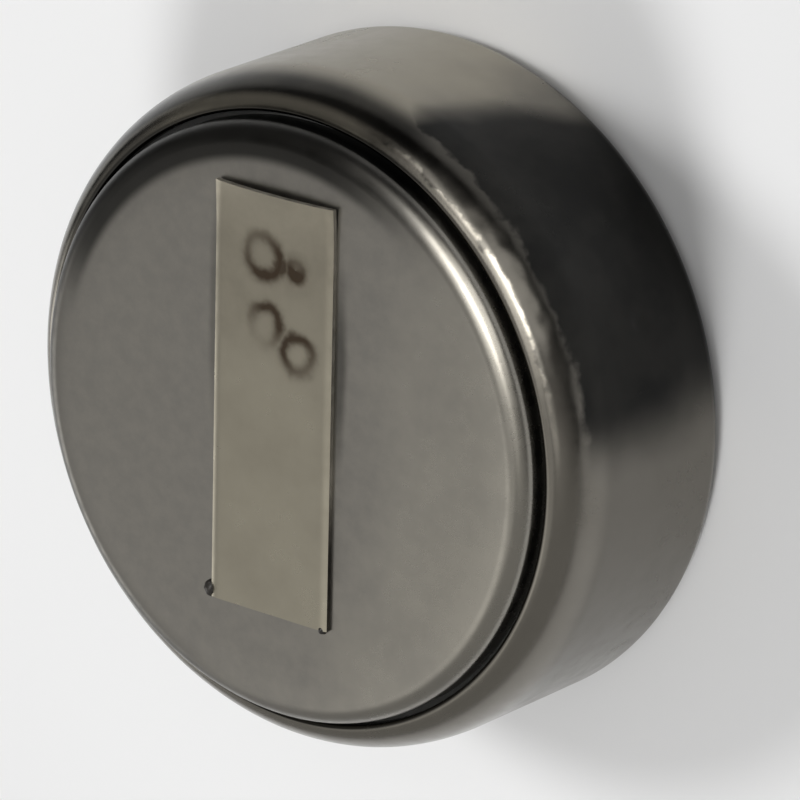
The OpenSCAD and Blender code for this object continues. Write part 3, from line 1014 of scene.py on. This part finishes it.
def make_lamp(name, kind, turn, rise, away, strength, **settings):
    data = bpy.data.lights.new(name, kind)
    data.energy = strength
    for key, value in settings.items():
        setattr(data, key, value)
    lamp = bpy.data.objects.new(name, data)
    line = bearing(turn, rise)
    lamp.matrix_world = Matrix.Translation(line * away) @ line.to_track_quat("Z", "Y").to_matrix().to_4x4()
    bpy.context.scene.collection.objects.link(lamp)
    return lamp


def make_floor(colours):
    bm = bmesh.new()
    bmesh.ops.create_circle(bm, cap_ends=True, segments=96, radius=FLOOR_RADIUS)
    bmesh.ops.translate(bm, vec=(0, 0, -FLOOR_BELOW), verts=bm.verts[:])
    mesh = bpy.data.meshes.new("floor")
    bm.to_mesh(mesh)
    bm.free()
    floor = bpy.data.objects.new("floor", mesh)
    bpy.context.scene.collection.objects.link(floor)
    made, _, shader, _ = new_material("pale_floor")
    shader.inputs["Base Color"].default_value = colours.floor_pale
    shader.inputs["Roughness"].default_value = 0.9
    mesh.materials.append(made)


# What the metal mirrors, in soft round patches:
# (turn, rise, cosine where a patch starts, cosine where it is full, strength)
SURROUNDINGS = (
    (280, 0, 0.00, 0.60, 0.42),
    (229, 53, 0.900, 0.972, 0.64),
    (191, 30, 0.900, 0.990, 0.30),
    (135, 20, 0.750, 0.950, 0.14),
    (34, 45, 0.600, 0.970, 0.40),
    (0, 55, 0.960, 0.992, 0.55),
    (32, 55, 0.980, 0.993, 4.6),
    (48, 57, 0.970, 0.993, 5.0),
    (70, 54, 0.962, 0.992, 4.6),
    (88, 40, 0.976, 0.994, 2.0),
    (255, 77, 0.880, 0.960, 0.45),
    (42, 30, 0.920, 0.980, 2.4),
    (207, 9, 0.950, 0.990, 2.5),
    (40, 76, 0.975, 0.992, 1.5),
    (75, 72, 0.975, 0.992, 1.2),
    (110, 66, 0.975, 0.992, 0.6),
)
DARK_SKY = 0.008


def make_world():
    """Studio surroundings for the mirror of the metal: a dark room with pale walls, screens and lamps."""
    world = bpy.data.worlds.new("studio")
    bpy.context.scene.world = world
    world.use_nodes = True
    tree = world.node_tree
    back = next(n for n in tree.nodes if n.type == "BACKGROUND")
    way = node_add(tree, "ShaderNodeTexCoord").outputs["Generated"]
    way = vector_node(tree, "NORMALIZE", way)
    light = DARK_SKY
    for turn, rise, start, full, strength in SURROUNDINGS:
        facing = vector_node(tree, "DOT_PRODUCT", way, tuple(bearing(turn, rise)))
        patch = range_node(tree, facing, start, full, 0.0, strength)
        light = math_node(tree, "ADD", light, patch)
    tint = node_add(tree, "ShaderNodeCombineColor")
    feed(tree, tint.inputs[0], light)
    feed(tree, tint.inputs[1], times(tree, light, 0.985))
    feed(tree, tint.inputs[2], times(tree, light, 0.95))
    tree.links.new(tint.outputs[0], back.inputs["Color"])
    back.inputs["Strength"].default_value = 1.0
    world.cycles_visibility.diffuse = False


class CELL_OT_stage(bpy.types.Operator):
    """Make the camera, the floor and the soft studio light"""
    bl_idname = "cell.make_stage"
    bl_label = "Stage"

    def execute(self, context):
        stage = context.scene.cell_stage
        make_camera(stage)
        make_floor(context.scene.cell_colours)
        make_world()
        for turn in KEY_TURNS:
            key = make_lamp(
                f"key_{turn:.0f}", "SPOT", turn, KEY_RISE, KEY_AWAY, stage.key_strength,
                spot_size=math.radians(KEY_CONE), spot_blend=1.0, shadow_soft_size=KEY_RADIUS)
            key.visible_glossy = False
        fill = make_lamp(
            "fill", "SUN", 0.0, 90.0, 1.0, stage.fill_strength, angle=math.radians(FILL_SPREAD))
        fill.visible_glossy = False
        context.scene.view_settings.view_transform = "Standard"
        return {"FINISHED"}


class CELL_PT_sidebar(bpy.types.Panel):
    bl_label = "Coin Cell"
    bl_idname = "CELL_PT_sidebar"
    bl_space_type = "VIEW_3D"
    bl_region_type = "UI"
    bl_category = "Coin Cell"

    def draw(self, context):
        for operator in OPERATORS:
            self.layout.operator(operator.bl_idname)


OPERATORS = (CELL_OT_stage, CELL_OT_can, CELL_OT_cap, CELL_OT_tab, CELL_OT_gasket, CELL_OT_inside)
GROUPED = (CellSizes, TabSizes, CellColours, StageSettings)


def register():
    for made in GROUPED + OPERATORS + (CELL_PT_sidebar,):
        bpy.utils.register_class(made)
    bpy.types.Scene.cell_sizes = PointerProperty(type=CellSizes)
    bpy.types.Scene.tab_sizes = PointerProperty(type=TabSizes)
    bpy.types.Scene.cell_colours = PointerProperty(type=CellColours)
    bpy.types.Scene.cell_stage = PointerProperty(type=StageSettings)


def unregister():
    for name in ("cell_sizes", "tab_sizes", "cell_colours", "cell_stage"):
        delattr(bpy.types.Scene, name)
    for made in reversed(GROUPED + OPERATORS + (CELL_PT_sidebar,)):
        bpy.utils.unregister_class(made)


def main():
    register()
    bpy.ops.cell.make_stage()
    bpy.ops.cell.make_can()
    bpy.ops.cell.make_cap()
    bpy.ops.cell.make_tab()
    bpy.ops.cell.finish_gasket()
    bpy.ops.cell.finish_inside()


if __name__ == "__main__":
    main()
